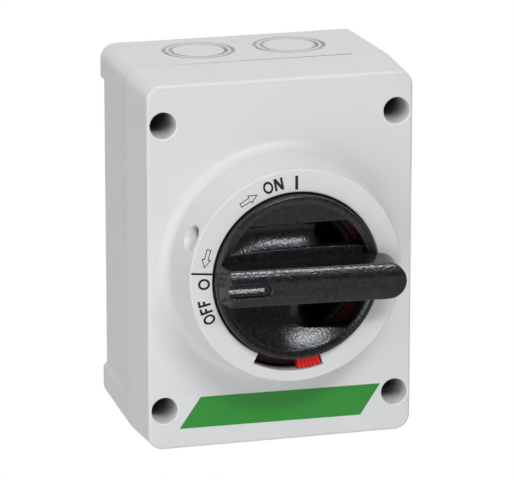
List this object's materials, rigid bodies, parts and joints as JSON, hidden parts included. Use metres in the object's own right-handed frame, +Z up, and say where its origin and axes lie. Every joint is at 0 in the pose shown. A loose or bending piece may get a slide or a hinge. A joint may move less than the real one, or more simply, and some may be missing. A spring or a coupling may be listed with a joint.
{
  "type": "rotary isolator switch",
  "caption": "Wall-mounted rotary isolator: light grey enclosure with screwed cover, black padlockable handle in a raised collar, red lock tab and a crank-driven contact block inside.",
  "frame": {"origin": "centre of the enclosure's flat back, where it meets the wall", "axes": "+Z up the wall, -Y out of the wall towards the user, +X to the user's right"},
  "size_m": [0.1008, 0.1061, 0.1372],
  "materials": {
    "light_grey_plastic": "fine satin texture",
    "black_plastic": "fine grained satin",
    "red_plastic": "satin",
    "black_rubber": "matt",
    "zinc_plated_steel": "bright zinc plate",
    "brass": "plain",
    "silvered_copper": "silver-plated copper",
    "dark_switch_plastic": "matt",
    "ivory_plastic": "matt"
  },
  "bodies": {
    "enclosure": {"base_box": "light_grey_plastic", "cover": "light_grey_plastic", "cover_gasket": "black_rubber", "cover_screw_1": "zinc_plated_steel", "cover_screw_2": "zinc_plated_steel", "cover_screw_3": "zinc_plated_steel", "cover_screw_4": "zinc_plated_steel", "bearing_plate": "black_plastic", "plate_screw_1": "zinc_plated_steel", "plate_screw_2": "zinc_plated_steel", "plate_screw_3": "zinc_plated_steel", "plate_screw_4": "zinc_plated_steel", "shaft_seal": "black_rubber", "switch_base": "dark_switch_plastic", "switch_top": "dark_switch_plastic", "switch_screw_1": "zinc_plated_steel", "switch_screw_2": "zinc_plated_steel", "line_terminal_1": "brass", "line_terminal_2": "brass", "line_terminal_3": "brass", "load_terminal_1": "brass", "load_terminal_2": "brass", "load_terminal_3": "brass", "terminal_clamp_1": "zinc_plated_steel", "terminal_clamp_2": "zinc_plated_steel", "terminal_clamp_3": "zinc_plated_steel", "terminal_clamp_4": "zinc_plated_steel", "terminal_clamp_5": "zinc_plated_steel", "terminal_clamp_6": "zinc_plated_steel", "terminal_screw_1": "zinc_plated_steel", "terminal_screw_2": "zinc_plated_steel", "terminal_screw_3": "zinc_plated_steel", "terminal_screw_4": "zinc_plated_steel", "terminal_screw_5": "zinc_plated_steel", "terminal_screw_6": "zinc_plated_steel", "earth_terminal": "brass", "earth_screw_1": "zinc_plated_steel", "earth_screw_2": "zinc_plated_steel"},
    "handle": {"handle_knob": "black_plastic", "handle_spindle": "black_plastic", "knob_screw_1": "zinc_plated_steel", "knob_screw_2": "zinc_plated_steel", "spindle_clip": "zinc_plated_steel"},
    "rotor": {"rotor": "ivory_plastic", "drive_shaft": "zinc_plated_steel"},
    "carriage": {"contact_carriage": "ivory_plastic", "contact_bridge_1": "silvered_copper", "contact_bridge_2": "silvered_copper", "contact_bridge_3": "silvered_copper", "bridge_spring_1": "zinc_plated_steel", "bridge_spring_2": "zinc_plated_steel", "bridge_spring_3": "zinc_plated_steel"},
    "lock_ring": {"lock_ring": "red_plastic"}
  },
  "joints": [
    {"name": "handle_turn", "type": "hinge", "parent": "enclosure", "child": "handle", "pos_m": [0, -0.0696, 0], "axis": [0, 1, 0], "range_deg": [0, 90]},
    {"name": "rotor_turn", "type": "hinge", "parent": "enclosure", "child": "rotor", "pos_m": [0, -0.03, 0], "axis": [0, 1, 0], "range_deg": [0, 90]},
    {"name": "carriage_slide", "type": "slide", "parent": "enclosure", "child": "carriage", "axis": [1, 0, 0], "range_m": [0, 0.00849]},
    {"name": "lock_ring_turn", "type": "hinge", "parent": "enclosure", "child": "lock_ring", "pos_m": [0, -0.0696, 0], "axis": [0, 1, 0], "range_deg": [0, 28]}
  ],
  "couplings": [
    {"joint": "rotor_turn", "follows": "handle_turn", "ratio": 1},
    {"joint": "carriage_slide", "follows": "handle_turn", "m_per_rad": 0.0054019}
  ]
}
